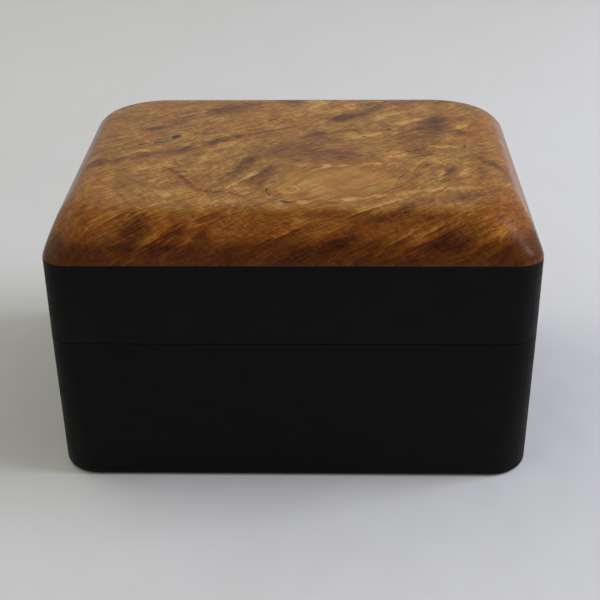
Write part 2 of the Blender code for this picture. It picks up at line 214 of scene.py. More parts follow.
def box_mesh(bm, low, high):
    """Adds a block between two corners, as a tool or as the blank of a piece."""
    made = bmesh.ops.create_cube(bm, size=1.0)["verts"]
    bmesh.ops.scale(bm, vec=high - low, verts=made)
    bmesh.ops.translate(bm, vec=(low + high) / 2, verts=made)
    return made


def rod_mesh(bm, centre, radius, length, sides=48):
    """Adds a rod along X, as a tool."""
    made = bmesh.ops.create_cone(
        bm, cap_ends=True, segments=sides, radius1=radius, radius2=radius, depth=length
    )["verts"]
    bmesh.ops.rotate(bm, verts=made, matrix=Matrix.Rotation(math.radians(90), 3, "Y"))
    bmesh.ops.translate(bm, vec=centre, verts=made)


def boolean(obj, operation, tool_bm):
    """Cuts the object with, or joins it to, the closed shapes of a bmesh."""
    tool = new_object("tool", tool_bm)
    modifier = obj.modifiers.new("tool", "BOOLEAN")
    modifier.operation = operation
    modifier.solver = "EXACT"
    modifier.object = tool
    applied(obj)
    bpy.data.objects.remove(tool)
    return obj


def finish_piece(obj, body, material, node):
    """Dresses a piece, hangs it from the empty of its body and hides the CAD node that it stands for."""
    obj.data.materials.clear()
    obj.data.materials.append(material)
    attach(obj, body)
    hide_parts(node)


# ---------------------------------------------------------------- material helper


class Graph:
    """A node tree. Inputs are sockets or plain numbers, and each method returns a socket."""

    def __init__(self, tree):
        self.tree = tree

    def node(self, kind, **settings):
        made = self.tree.nodes.new(kind)
        for key, value in settings.items():
            setattr(made, key, value)
        return made

    def link(self, value, socket):
        if isinstance(value, bpy.types.NodeSocket):
            self.tree.links.new(value, socket)
        else:
            socket.default_value = value

    def math(self, operation, *values):
        made = self.node("ShaderNodeMath", operation=operation)
        for value, socket in zip(values, made.inputs):
            self.link(value, socket)
        return made.outputs[0]

    def vector(self, operation, *values):
        made = self.node("ShaderNodeVectorMath", operation=operation)
        for value, socket in zip(values, made.inputs):
            self.link(value, socket)
        return made.outputs["Value" if operation == "DOT_PRODUCT" else "Vector"]

    def scaled(self, vector, factor):
        made = self.node("ShaderNodeVectorMath", operation="SCALE")
        self.link(vector, made.inputs[0])
        self.link(factor, made.inputs["Scale"])
        return made.outputs[0]

    def remap(self, value, low, high, to_low=0.0, to_high=1.0, smooth=True):
        """Takes low..high to to_low..to_high and holds the ends. A smooth step holds them without a clamp."""
        made = self.node("ShaderNodeMapRange")
        made.interpolation_type = "SMOOTHSTEP" if smooth else "LINEAR"
        made.clamp = not smooth
        for socket, number in zip(made.inputs, (value, low, high, to_low, to_high)):
            self.link(number, socket)
        return made.outputs["Result"]

    def turned(self, vector, degrees, scale):
        """The point in the frame of a grid that is turned about Z and stretched by scale."""
        made = self.node("ShaderNodeMapping", vector_type="TEXTURE")
        self.link(vector, made.inputs["Vector"])
        made.inputs["Rotation"].default_value = (0, 0, math.radians(degrees))
        made.inputs["Scale"].default_value = scale
        return made.outputs[0]

    def noise(self, vector, size=1.0, detail=2.0, colour=False):
        """Noise whose features are about `size` across."""
        made = self.node("ShaderNodeTexNoise")
        self.link(vector, made.inputs["Vector"])
        made.inputs["Scale"].default_value = 1 / size
        made.inputs["Detail"].default_value = detail
        return made.outputs["Color" if colour else "Fac"]

    def mix(self, share, a, b, blend="MIX"):
        made = self.node("ShaderNodeMix", data_type="RGBA", blend_type=blend)
        for name, value in (("Factor_Float", share), ("A_Color", a), ("B_Color", b)):
            socket = next(s for s in made.inputs if s.identifier == name)
            self.link((*value, 1) if isinstance(value, tuple) else value, socket)
        return next(s for s in made.outputs if s.identifier == "Result_Color")

    def ramp(self, value, *stops):
        """A colour ramp through (place, colour) stops."""
        made = self.node("ShaderNodeValToRGB")
        elements = made.color_ramp.elements
        while len(elements) < len(stops):
            elements.new(0.5)
        for element, (place, _) in zip(elements, stops):
            element.position = place
        for element, (_, colour) in zip(elements, stops):
            element.color = (*colour, 1)
        self.link(value, made.inputs["Fac"])
        return made.outputs["Color"]

    def split(self, vector):
        made = self.node("ShaderNodeSeparateXYZ")
        self.link(vector, made.inputs[0])
        return list(made.outputs)

    def joined(self, x, y, z):
        made = self.node("ShaderNodeCombineXYZ")
        for value, socket in zip((x, y, z), made.inputs):
            self.link(value, socket)
        return made.outputs[0]


class Surface(Graph):
    """A material on a Principled shader, with its place in millimetres as the starting point."""

    def __init__(self, name, **shader):
        self.material = bpy.data.materials.new(name)
        self.material.use_nodes = True
        super().__init__(self.material.node_tree)
        self.shader = self.tree.nodes["Principled BSDF"]
        for key, value in shader.items():
            self.shader.inputs[key.replace("_", " ")].default_value = value
        self.millimetres = self.scaled(self.node("ShaderNodeTexCoord").outputs["Object"], 1000)

    def set(self, name, value):
        self.link(value, self.shader.inputs[name])

    def bump(self, height, millimetres):
        """A bump whose heights of 0 to 1 stand for that many millimetres."""
        made = self.node("ShaderNodeBump")
        made.inputs["Distance"].default_value = millimetres / 1000
        self.link(height, made.inputs["Height"])
        self.set("Normal", made.outputs[0])


# ---------------------------------------------------------------- burl

# The figure is laid out on the slab's faces unrolled flat: x and y in mm on the top, and past its edges by
# as much again as the height lost. Dark and pale patches are x, y, half length, half width, turn in degrees
# and strength.
DARK_PATCHES = (
    # the large blotch at the right and the brown field in the middle
    (47.5, 20, 8.5, 6.5, 30, 0.42),
    (49, 26.5, 4.5, 3.2, 60, 0.34),
    (56, 13, 4, 3, -20, 0.26),
    (42, 8, 10, 8, 50, 0.24),
    (41, -4, 6, 4, 20, 0.25),
    (-1, -3, 14, 8.5, 20, 0.24),
    (14, -8, 12, 7, -10, 0.24),
    (9, 7, 6, 4, 0, 0.22),
    (5, 10, 7, 1.8, 28, 0.3),
    (16, 14, 8, 1.3, 14, 0.28),
    (31, 15.3, 10, 1.0, 2, 0.22),
    # the band that climbs from the left edge
    (-63, -12.5, 9, 3.8, 25, 0.3),
    (-50, -7.5, 9, 2.8, 20, 0.24),
    (-37, -3, 6, 3, 25, 0.4),
    (-27, 4, 5.5, 3.4, 50, 0.42),
    (-16, 11, 9, 1.8, 30, 0.28),
    (-6, 16.5, 8, 1.2, 25, 0.22),
    # the arcs left of the knot
    (-18, -20, 12, 3, 70, 0.32),
    (-14.5, -12, 4, 3.2, 50, 0.26),
    (-10, -26, 8, 3.4, 72, 0.36),
    (-7.5, -18, 5, 2.2, 45, 0.22),
    (-39, -20, 5, 0.9, -50, 0.2),
    (-34.5, -26, 6, 1.1, -58, 0.26),
    (-32, -31.5, 3, 1.6, -60, 0.28),
    (-27, -36, 6, 1.0, -15, 0.28),
    (-18, -38.5, 7, 0.8, -25, 0.2),
    (-38, -14, 6, 0.6, -75, 0.18),
    (-53, -38, 6, 1.1, -60, 0.18),
    (-48, -30, 4, 0.8, -50, 0.16),
    # towards the back edge
    (-23, 38, 10, 6, 35, 0.34),
    (-41, 24, 13, 2.6, 38, 0.24),
    (-49, 17, 5, 2.2, 40, 0.2),
    (-38, 35, 8, 3, 25, 0.18),
    (-2, 46, 6, 3.5, 0, 0.3),
    (19, 29.5, 10, 3.2, 35, 0.38),
    (27, 38, 8, 3.6, 52, 0.36),
    (13.5, 25.5, 4, 2.6, 30, 0.3),
    (40, 45, 16, 4, 5, 0.2),
    # crescents at the right end
    (34, -25, 4, 1.0, 30, 0.26),
    (42, -17, 4, 1.8, 30, 0.22),
    (49.5, -21, 6, 1.8, 80, 0.32),
    (59.5, -22, 6, 1.8, 85, 0.34),
    (64, -15, 8, 2.2, -50, 0.3),
    (46, -28.5, 8, 1.4, 20, 0.24),
    (58, -38, 9, 4, 30, 0.2),
    (42, -43, 9, 3, 15, 0.16),
    # the front band
    (-47, -58, 10, 4, 75, 0.32),
    (-37, -63, 9, 3, 45, 0.3),
    (-27, -61, 5, 3, 60, 0.26),
    (-2, -61, 8, 2, 30, 0.2),
    (3, -68, 8, 3, 40, 0.18),
    (14, -63, 7, 4, 40, 0.36),
    (27, -53, 8, 3, 20, 0.26),
    (34, -48, 5, 2.6, 40, 0.26),
    (46, -62, 10, 5, 20, 0.36),
    (66, -68, 7, 2.5, 35, 0.26),
)

PALE_PATCHES = (
    # the eye and its bright edges
    (14, -30, 21, 11, 12, 0.2),
    (12, -16.4, 7, 0.8, 3, 0.36),
    (26, -15, 6, 1.0, -5, 0.22),
    (-16.5, -28.5, 10, 1.0, 62, 0.42),
    (4, -44, 7, 1.0, 5, 0.34),
    (20, -41, 10, 1.2, 14, 0.28),
    (37, -36.5, 12, 1.1, 18, 0.3),
    (51, -34, 8, 1.2, 10, 0.2),
    # cream fields and streaks at the left
    (-37, -40, 8, 6, 60, 0.2),
    (-22, -44, 10, 3, 5, 0.16),
    (-45, -17, 8, 5, 30, 0.14),
    (-24, 2, 8, 3, 35, 0.24),
    (-27, -8, 9, 2, 45, 0.18),
    (-21, -14, 9, 1.4, 48, 0.18),
    (-48, -1.5, 7, 1.8, 20, 0.22),
    (-36, 31.5, 8, 1.1, 30, 0.32),
    (-26, 26, 4, 3, 0, 0.22),
    # streaks towards the back edge
    (7, 43, 8, 5, 80, 0.2),
    (3, 34, 11, 6, 20, 0.12),
    (15, 38, 8, 1.0, 52, 0.36),
    (18, 36, 7, 0.8, 50, 0.3),
    (20.5, 42, 6, 0.9, 45, 0.32),
    (29, 45, 5, 2, 60, 0.26),
    (38, 24, 8, 1.8, 35, 0.36),
    (31, 30, 8, 1.7, 35, 0.28),
    (41, 35, 6, 1.7, 30, 0.24),
    (56, 19.5, 4, 2, 20, 0.32),
    # round the small knot and at the right end
    (20.5, 9.5, 6, 1.8, 10, 0.32),
    (26.5, 12, 5, 1.3, 20, 0.28),
    (32, -7, 6, 4, 20, 0.22),
    (49, 0.6, 5.5, 0.7, 3, 0.55),
    (46, -12, 9, 3, 10, 0.18),
    (46.5, -23, 4.2, 1.4, 65, 0.36),
    (54, -22, 5.5, 1.6, 70, 0.34),
    # gold on the front band
    (26, -46.5, 11, 1.6, 33, 0.36),
    (4, -54, 8, 1.5, 5, 0.28),
    (31, -62.5, 13, 1.1, 42, 0.42),
    (37, -61.5, 11, 1.0, 42, 0.38),
    (57, -63, 11, 1.1, 38, 0.42),
    (64, -57.5, 5, 2.4, 65, 0.42),
    (60, -66.5, 8, 1.0, 36, 0.3),
    (-58, -54, 7, 1.0, 45, 0.32),
    (-54.5, -53.5, 7, 1.0, 50, 0.3),
    (-62, -57, 7, 1.0, 35, 0.26),
    (-43, -63, 11, 1.4, 45, 0.36),
    (-35, -66, 10, 1.2, 45, 0.28),
    (-21, -64, 9, 3, 45, 0.2),
    (-2, -58.5, 8, 0.9, 38, 0.3),
    (-28, -54, 6, 1.4, 50, 0.22),
)

# Fields of warmer gold and of greyer brown: x, y, half length, half width and turn
GOLD_FIELDS = (
    (-8, 22, 26, 13, 25),
    (-64, -24, 22, 12, 90),
    (-34, -27, 9, 3, -55),
    (60, 18, 16, 9, 80),
    (0, -68, 90, 14, 0),
)
GREY_FIELDS = (
    (6, -6, 24, 13, 10),
    (16, -30, 24, 13, 10),
    (4, -47, 66, 6, 0),
    (-15, -22, 13, 8, 65),
    (50, -42, 20, 6, 10),
    (-50, 20, 20, 10, 45),
)

# Bark specks and cracks: x, y, half length, half width and turn
SPECKS = (
    (-12.6, 21.2, 1.6, 0.5, 45),
    (-8.6, 25.6, 2.4, 0.7, 35),
    (-4.9, 22.6, 1.5, 0.5, -10),
    (-1.4, 23.4, 1.4, 0.5, 15),
    (-51.4, 2.6, 1.2, 0.8, 30),
    (-49.8, 3.4, 1.0, 0.3, 20),
    (-40.3, 9.7, 2.1, 1.5, 40),
    (-6.3, -29.5, 1.4, 0.3, 60),
    (-8.0, -35.5, 1.9, 0.34, 97),
    (-7.2, -38.6, 1.8, 0.4, 112),
    (-2.2, -44.2, 2.0, 1.0, -18),
    (23, 9.2, 1.2, 0.6, 35),
    (56, 0.8, 1.2, 0.5, 80),
    (42, -8, 4.0, 0.4, 22),
)

# Eyes that the grain parts round: x, y, half length, half width, turn, and how far it parts. Below 0, it
# closes in
EYES = (
    (12, -27, 52, 40, 15, 0.62),
    (-43, 7, 17, 11, 38, 0.7),
    (47, 20, 16, 13, 30, 0.55),
    (23.4, 9.3, 11, 6, 15, 0.7),
    (38, -21, 9, 7, 20, 0.75),
    (52, -22, 11, 9, 70, 0.55),
    (50, -2, 12, 6, 5, 0.5),
    (-24, 34, 18, 12, 40, -0.45),
    (-34, -27, 14, 8, -50, 0.6),
    (18, 33, 16, 8, 40, -0.5),
)

# The plain eye at the front, the sliver of bark with its dark tip, and the knot, as ovals like the ones above
CALM_EYE = (14, -29.5, 22, 11.5, 12)
BARK = (-43.4, 7.1, 5.4, 2.0, 38)
BARK_TIP = (-40.2, 9.6, 2.2, 1.7, 38)
KNOT = (-1.3, -35.0, 1.1, 0.9, 10)

GRAIN_TURN = 36
ACROSS_GRAIN = (-math.sin(math.radians(GRAIN_TURN)), math.cos(math.radians(GRAIN_TURN)), 0.0)

# How far from the middle the top turns into the sides, in mm
EDGE_X = (60, 70)
EDGE_Y = (40, 50)

SPECK_STRENGTH = 0.8
SPECK_COLOUR = (0.028, 0.014, 0.007)
BARK_TIP_COLOUR = (0.028, 0.014, 0.008)
BARK_RIM_COLOUR = (0.055, 0.028, 0.010)
BARK_STRIPES = ((0.13, 0.066, 0.018), (0.34, 0.19, 0.05))


def oval(g, point, x, y, length, width, turn):
    """How far out a point is from the middle of an oval: 1 on its edge."""
    cosine, sine = math.cos(math.radians(turn)), math.sin(math.radians(turn))
    offset = g.vector("SUBTRACT", point, (x, y, 0))
    along = g.vector("DOT_PRODUCT", offset, (cosine / length, sine / length, 0))
    across = g.vector("DOT_PRODUCT", offset, (-sine / width, cosine / width, 0))
    square = g.math("MULTIPLY_ADD", across, across, g.math("MULTIPLY", along, along))
    return g.math("SQRT", square)


def patches(g, point, table, core, end):
    """The sum of soft oval patches, each at full strength out to its core and gone at its end."""
    total = 0.0
    for *shape, strength in table:
        patch = g.remap(oval(g, point, *shape), core, end, strength, 0)
        total = g.math("ADD", total, patch)
    return total


def fields(g, point, table):
    """Where wide fields of one tint lie, from 0 to 1."""
    return g.math("MINIMUM", patches(g, point, [(*row, 1.0) for row in table], 0.2, 1.15), 1.0)


def streaks(g, point, across, along, detail):
    """Noise drawn out along the grain, from 0 to 1 about 0.5."""
    return g.noise(g.turned(point, GRAIN_TURN, (along, across, along)), detail=detail)


def wander(g, point, size, reach):
    """The point, moved about by noise."""
    offset = g.vector("SUBTRACT", g.noise(point, size, colour=True), (0.5, 0.5, 0.5))
    return g.vector("ADD", point, g.scaled(offset, 2 * reach))


def unrolled(g):
    """The point on the slab's faces laid flat in mm, and how far it lies below the top."""
    x, y, z = g.split(g.millimetres)
    drop = g.math("SUBTRACT", TOP_HIGH.z * 1000, z)
    start_x, end_x = EDGE_X
    start_y, end_y = EDGE_Y
    to_side = g.math("SUBTRACT", g.remap(x, start_x, end_x), g.remap(x, -start_x, -end_x))
    to_back = g.math("SUBTRACT", g.remap(y, start_y, end_y), g.remap(y, -start_y, -end_y))
    flat_x = g.math("MULTIPLY_ADD", drop, to_side, x)
    flat_y = g.math("MULTIPLY_ADD", drop, to_back, y)
    return g.joined(flat_x, flat_y, 0.0), drop


def parted(g, point, x, y, length, width, turn, strength):
    """The point drawn towards an eye, so that the grain flows round it."""
    pull = g.remap(oval(g, point, x, y, length, width, turn), 0, 1, strength, 0)
    away = g.vector("SUBTRACT", point, (x, y, 0))
    return g.vector("SUBTRACT", point, g.scaled(away, pull))


def with_knot(g, point, tone):
    """Adds the small bull's-eye: uneven rings that fade out round a brown pith."""
    radius = oval(g, wander(g, point, 3, 0.5), *KNOT)
    rings = g.math("COSINE", g.math("MULTIPLY", radius, 2 * math.pi / 1.9))
    tone = g.math("MULTIPLY_ADD", rings, g.remap(radius, 1.5, 7.5, -0.12, 0), tone)
    tone = g.math("ADD", tone, g.remap(radius, 2.0, 5.0, 0.1, 0))
    return g.math("ADD", tone, g.remap(radius, 0.8, 1.4, -0.3, 0))


def with_bark(g, point, colour):
    """Lays in the sliver of bark: a dark rim and a dark tip round brown, striped wood."""
    ragged = wander(g, point, 2.5, 0.5)
    reach = oval(g, ragged, *BARK)
    stripes = g.noise(g.turned(ragged, BARK[-1], (5, 0.5, 5)), detail=2)
    inner = g.mix(g.remap(stripes, 0.4, 0.6), *BARK_STRIPES)
    rim = g.remap(reach, 0.68, 0.9)
    bark = g.mix(rim, inner, BARK_RIM_COLOUR)
    tip = oval(g, ragged, *BARK_TIP)
    bark = g.mix(g.remap(tip, 1.1, 0.7), bark, BARK_TIP_COLOUR)
    return g.mix(g.remap(reach, 1.0, 0.85), colour, bark)


def grain_texture(g, flat, point):
    """The unplaced figure as a tone about 0, calmer in the plain eye, and its two widest streaks."""
    grain = wander(g, point, 28, 4)
    for eye in EYES:
        grain = parted(g, grain, *eye)
    broad = streaks(g, grain, 2.4, 18, 5)
    middle = streaks(g, grain, 0.9, 8, 5)
    fine = streaks(g, grain, 0.3, 4, 4)
    curl = g.noise(g.turned(grain, GRAIN_TURN, (1.3, 3.4, 1.3)), detail=3)
    mottle = g.noise(point, 8, 6)
    glitter = g.noise(flat, 0.4, 1)
    swell = streaks(g, grain, 7, 30, 1)
    wave = g.math("SINE", g.math("MULTIPLY", swell, 95))
    texture = g.math("MULTIPLY", wave, g.remap(mottle, 0.42, 0.62, 0.0, 0.07))
    layers = ((broad, 0.55), (middle, 0.75), (fine, 1.2), (curl, 0.6), (mottle, 0.6), (glitter, 0.75))
    for layer, strength in layers:
        texture = g.math("MULTIPLY_ADD", g.math("SUBTRACT", layer, 0.5), strength, texture)
    calm = g.remap(oval(g, wander(g, point, 5, 1.5), *CALM_EYE), 0.7, 1.1, 0.5, 1.0)
    return g.math("MULTIPLY", texture, calm), broad, middle


def burl_tone(g, flat, point):
    """How pale the wood is, from 0 to 1, its fine streaks, and the point made ragged across the grain."""
    texture, broad, middle = grain_texture(g, flat, point)
    shift = g.math("MULTIPLY", g.math("ADD", middle, g.math("SUBTRACT", broad, 1.0)), 6)
    ragged = g.vector("ADD", point, g.scaled(ACROSS_GRAIN, shift))
    dark = patches(g, ragged, DARK_PATCHES, 0.1, 1.4)
    dark = g.math("MULTIPLY", dark, g.math("MULTIPLY_ADD", texture, -0.4, 1.1))
    pale = patches(g, ragged, PALE_PATCHES, 0.45, 1.15)
    pale = g.math("MULTIPLY", pale, g.math("MULTIPLY_ADD", texture, 1.5, 0.95))
    tone = g.math("ADD", g.math("SUBTRACT", pale, dark), g.math("ADD", texture, 0.57))
    return with_knot(g, flat, tone), middle, ragged


def burl_material():
    """Oiled burl: a brown to gold ramp over the tone, with fields of other tints, and painted shade that
    darkens and reddens it down the edges.
    """
    g = Surface("burl", Specular_IOR_Level=0.19)
    flat, drop = unrolled(g)
    tone, streak, ragged = burl_tone(g, flat, wander(g, flat, 6, 0.7))
    colour = g.ramp(
        tone,
        (0.0, (0.070, 0.024, 0.005)),
        (0.2, (0.147, 0.051, 0.010)),
        (0.4, (0.233, 0.094, 0.016)),
        (0.6, (0.322, 0.147, 0.023)),
        (0.8, (0.430, 0.222, 0.042)),
        (1.0, (0.580, 0.340, 0.090)),
    )
    warmth = g.remap(g.noise(ragged, 11, 3), 0.4, 0.62)
    colour = g.mix(warmth, colour, (1.05, 0.93, 0.80), "MULTIPLY")
    colour = g.mix(fields(g, ragged, GOLD_FIELDS), colour, (1.05, 0.95, 0.72), "MULTIPLY")
    colour = g.mix(fields(g, ragged, GREY_FIELDS), colour, (0.96, 0.95, 1.2), "MULTIPLY")
    # Painted shade: redder and darker where the slab turns down from the top, and much darker on the band
    # below the lower crest, where less light falls.
    colour = g.mix(g.remap(drop, 0.0, 2.8), colour, (0.79, 0.58, 0.52), "MULTIPLY")
    colour = g.mix(g.remap(drop, 6.5, 11.0), colour, (0.39, 0.31, 0.15), "MULTIPLY")
    colour = with_bark(g, flat, colour)
    specks = [(*row, SPECK_STRENGTH) for row in SPECKS]
    speckled = patches(g, wander(g, flat, 1.6, 0.5), specks, 0.6, 1.15)
    colour = g.mix(g.math("MINIMUM", speckled, 1.0), colour, SPECK_COLOUR)
    g.set("Base Color", colour)
    g.set("Roughness", g.remap(tone, 0, 1, 0.29, 0.23, smooth=False))
    g.bump(streak, 0.02)
    return g.material


# The slab's edge from the glue line up, in mm: height, inset at the left, right, front and back, corner
# radius in plan, and how far the front line falls from the middle to the right and rises to the left
SLAB_EDGE = (
    (0.0, 0.0, 0.0, 0.0, 0.0, 8.6, 0.0),
    (1.6, 0.5, 0.4, 0.2, 0.3, 8.8, 0.1),
    (4.3, 1.8, 1.5, 1.1, 1.3, 9.8, 0.6),
    (7.7, 3.6, 2.7, 3.1, 3.0, 11.8, 1.3),
    (9.1, 4.4, 3.5, 3.9, 3.7, 12.6, 1.4),
    (12.6, 6.9, 6.1, 5.9, 5.6, 15.5, 0.7),
    (14.8, 9.3, 8.4, 7.1, 7.0, 18.0, 0.2),
    (15.5, 13.5, 12.5, 9.5, 9.5, 20.0, 0.0),
    (15.6, 19.0, 19.0, 19.0, 19.0, 20.0, 0.0),
)
FALL_REACH = 0.035
EDGE_ROUNDS = 3
CROWN_SHARES = (0.85, 0.7, 0.55, 0.4, 0.27, 0.14, 0.05)


def slab_edge(bm, bottom):
    """The rings of the rounded band, the steep facet above it and the soft turn into the top."""
    rings = []
    for row in corner_cut([np.array(row) / 1000 for row in SLAB_EDGE], EDGE_ROUNDS):
        height, left, right, front, back, radius, fall = (float(value) for value in row)
        half_x = HALF_WIDTH - (left + right) / 2
        half_y = HALF_DEPTH - (front + back) / 2
        middle = ((left - right) / 2, (front - back) / 2)
        ring = rounded_ring(bm, half_x, half_y, radius, bottom + height, middle)
        for vertex in ring:
            towards_front = 0.5 - vertex.co.y / (2 * HALF_DEPTH)
            vertex.co.z -= fall * towards_front * math.tanh(vertex.co.x / FALL_REACH)
        rings.append(ring)
    return rings


def burl_slab(material):
    """The thick top: a rounded band, a steep facet and a nearly flat face."""
    bottom = GLUE + HAIR / 2
    bm = bmesh.new()
    rings = slab_edge(bm, bottom)
    height, inset, radius = (SLAB_EDGE[-1][i] / 1000 for i in (0, 1, 5))
    crown = TOP_HIGH.z - bottom - height
    for share in CROWN_SHARES:
        z = bottom + height + crown * (1 - share**2)
        half_x = (HALF_WIDTH - inset) * share
        half_y = (HALF_DEPTH - inset) * share
        rings.append(rounded_ring(bm, half_x, half_y, radius * share, z))
    for lower, upper in zip(rings, rings[1:]):
        bridge(bm, lower, upper)
    bm.faces.new(reversed(rings[0]))
    bm.faces.new(rings[-1])
    finish_piece(new_object("burl_slab", bm), "lid", material, "lid_top")


# ---------------------------------------------------------------- black walls and rails


def black_material():
    """Black stain that lets a little of the grain through."""
    g = Surface("black_stain", Roughness=0.5, Specular_IOR_Level=0.09)
    grain = g.noise(g.turned(g.millimetres, 0, (14, 14, 0.8)), detail=4)
    cloud = g.noise(g.millimetres, 9, 3)
    g.set("Base Color", g.mix(cloud, (0.0024, 0.0028, 0.0028), (0.0058, 0.0057, 0.0056)))
    g.set("Roughness", g.remap(grain, 0.3, 0.7, 0.45, 0.6))
    g.bump(grain, 0.02)
    return g.material


def quarter_round(inset, z, radius, from_degrees, steps=6):
    """Points of (inset, height) on a quarter circle, going clockwise as seen with outside to the right."""
    return [
        (
            inset - radius * math.cos(math.radians(from_degrees + 90 * i / steps)),
            z + radius * math.sin(math.radians(from_degrees + 90 * i / steps)),
        )
        for i in range(steps + 1)
    ]


def wall_profile(bottom, top, is_base):
    """The section of the walls as (inset, height) points: up the outside, over and down the inside."""
    if is_base:
        outside = quarter_round(FOOT_RADIUS, bottom + FOOT_RADIUS, FOOT_RADIUS, -90)
        outside += quarter_round(SEAM_EASED, top - SEAM_EASED, SEAM_EASED, 0, 3)
        rim = quarter_round(WALL - EASED, top - EASED, EASED, 90, 3)
        ledge = PANEL_HIGH.z + HAIR
        rebate = HALF_WIDTH - PANEL_HIGH.x - HAIR
        return outside + rim + [(WALL, ledge), (rebate, ledge), (rebate, bottom)]
    outside = quarter_round(SEAM_EASED, bottom + SEAM_EASED, SEAM_EASED, -90, 3) + [(0, top)]
    inside = [(WALL, top)] + quarter_round(WALL - EASED, bottom + EASED, EASED, 180, 3)
    return outside + inside


def ring_of_walls(profile):
    """A closed bmesh of all four walls in one, swept round from their section."""
    bm = bmesh.new()
    rings = []
    heights, radii = zip(*WALL_CORNERS)
    for inset, z in profile:
        radius = float(np.interp(z, heights, radii)) - inset if inset < WALL / 2 else INNER_CORNER
        rings.append(rounded_ring(bm, HALF_WIDTH - inset, HALF_DEPTH - inset, radius, z))
    for lower, upper in zip(rings, rings[1:] + rings[:1]):
        bridge(bm, lower, upper)
    return bm


def slice_off(bm, point, normal):
    """Cuts away what lies on the side that the normal points to, and closes the cut."""
    geometry = bm.verts[:] + bm.edges[:] + bm.faces[:]
    cut = bmesh.ops.bisect_plane(
        bm, geom=geometry, plane_co=point, plane_no=normal, clear_outer=True, dist=1e-7
    )["geom_cut"]
    edges = [e for e in cut if isinstance(e, bmesh.types.BMEdge)]
    bmesh.ops.holes_fill(bm, edges=edges, sides=0)


def cut_wall(bm, side, is_base):
    """Leaves one wall of the ring, between its two mitres, with the stop bevel behind the hinge axis."""
    for sign_x, sign_y in SIDES[side]:
        corner = Vector((sign_x * HALF_WIDTH, sign_y * HALF_DEPTH, 0))
        away = Vector((sign_x, -sign_y, 0)).normalized()
        if side in ("left", "right"):
            away = -away
        slice_off(bm, corner - away * HAIR / 2, away)
    if side != "front":
        up = math.cos(STOP_BEVEL) * (1 if is_base else -1)
        slice_off(bm, AXIS, Vector((0, math.sin(STOP_BEVEL), up)))
    return bm


def spline_slot(node):
    """A block turned to the mitre round a CAD spline, with a hair of room and open at the rim."""
    low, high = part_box(node)
    centre = (low + high) / 2
    half = Vector((SPLINE_THICKNESS / 2 + HAIR, SPLINE_WIDTH / 2 + HAIR, (high.z - low.z) / 2 + HAIR))
    above = Vector((0, 0, PAST_RIM if centre.z < SEAM else 0))
    below = Vector((0, 0, PAST_RIM if centre.z > SEAM else 0))
    bm = bmesh.new()
    verts = box_mesh(bm, -half - below, half + above)
    turn = math.radians(45) * math.copysign(1, centre.x * centre.y)
    bmesh.ops.rotate(bm, verts=verts, matrix=Matrix.Rotation(turn, 3, "Z"))
    bmesh.ops.translate(bm, verts=verts, vec=centre)
    return bm


def barrel_seats():
    """The room that the two barrels take out of a back piece."""
    bm = bmesh.new()
    for sign in (-1, 1):
        centre = AXIS + Vector((sign * HINGE_OFFSET_X, 0, 0))
        rod_mesh(bm, centre, KNUCKLE_RADIUS + BARREL_SEAT_ROOM, HINGE_LENGTH + 2 * BARREL_SEAT_ENDS)
    return bm


def leaf_seats():
    """The room that the two leaves take out of a back piece."""
    bm = bmesh.new()
    for sign in (-1, 1):
        centre = AXIS + Vector((sign * HINGE_OFFSET_X, 0, 0))
        half = Vector((HINGE_LENGTH / 2 + LEAF_SEAT_ROOM, 0, LEAF_SEAT_DEPTH))
        box_mesh(bm, centre - half - Vector((0, LEAF_REACH + LEAF_SEAT_ROOM, 0)), centre + half)
    return bm


def wall_tools(part, side):
    """What is cut out of a wall: its splines' slots and, at the back, the hinges' seats."""
    tools = [spline_slot(f"{part}_spline_{corner}") for corner in CORNERS if side in corner.split("_")]
    if side == "back":
        tools += [barrel_seats(), leaf_seats()]
    return tools


def black_walls(material):
    """The four walls of the base and the four rails of the lid, mitred at the corners."""
    for part, noun, bottom, top in (
        ("base", "wall", 0, SEAM - SEAM_LINE / 2),
        ("lid", "rail", SEAM + SEAM_LINE / 2, GLUE - HAIR / 2),
    ):
        is_base = part == "base"
        profile = wall_profile(bottom, top, is_base)
        for side in SIDES:
            wall = new_object(f"black_{part}_{side}", cut_wall(ring_of_walls(profile), side, is_base))
            for tool in wall_tools(part, side):
                boolean(wall, "DIFFERENCE", tool)
            finish_piece(wall, part, material, f"{part}_{side}_{noun}")


# ---------------------------------------------------------------- suede lining and pads


def suede_material():
    """Tan suede with a short nap, brushed this way and that."""
    g = Surface("suede", Roughness=0.9, Specular_IOR_Level=0.15, Sheen_Weight=0.5, Sheen_Roughness=0.4)
    nap = g.noise(g.millimetres, 0.35, 3)
    brushed = g.noise(g.turned(g.millimetres, 35, (14, 5, 10)), detail=3)
    patch = g.noise(g.millimetres, 26, 2)
    tone = g.math("MULTIPLY_ADD", g.math("SUBTRACT", brushed, 0.5), 0.9, g.remap(patch, 0.3, 0.7))
    tone = g.math("MULTIPLY_ADD", g.math("SUBTRACT", nap, 0.5), 0.6, tone)
    g.set("Base Color", g.ramp(tone, (0.0, (0.07, 0.03, 0.012)), (1.0, (0.17, 0.085, 0.04))))
    g.bump(nap, 0.08)
    return g.material


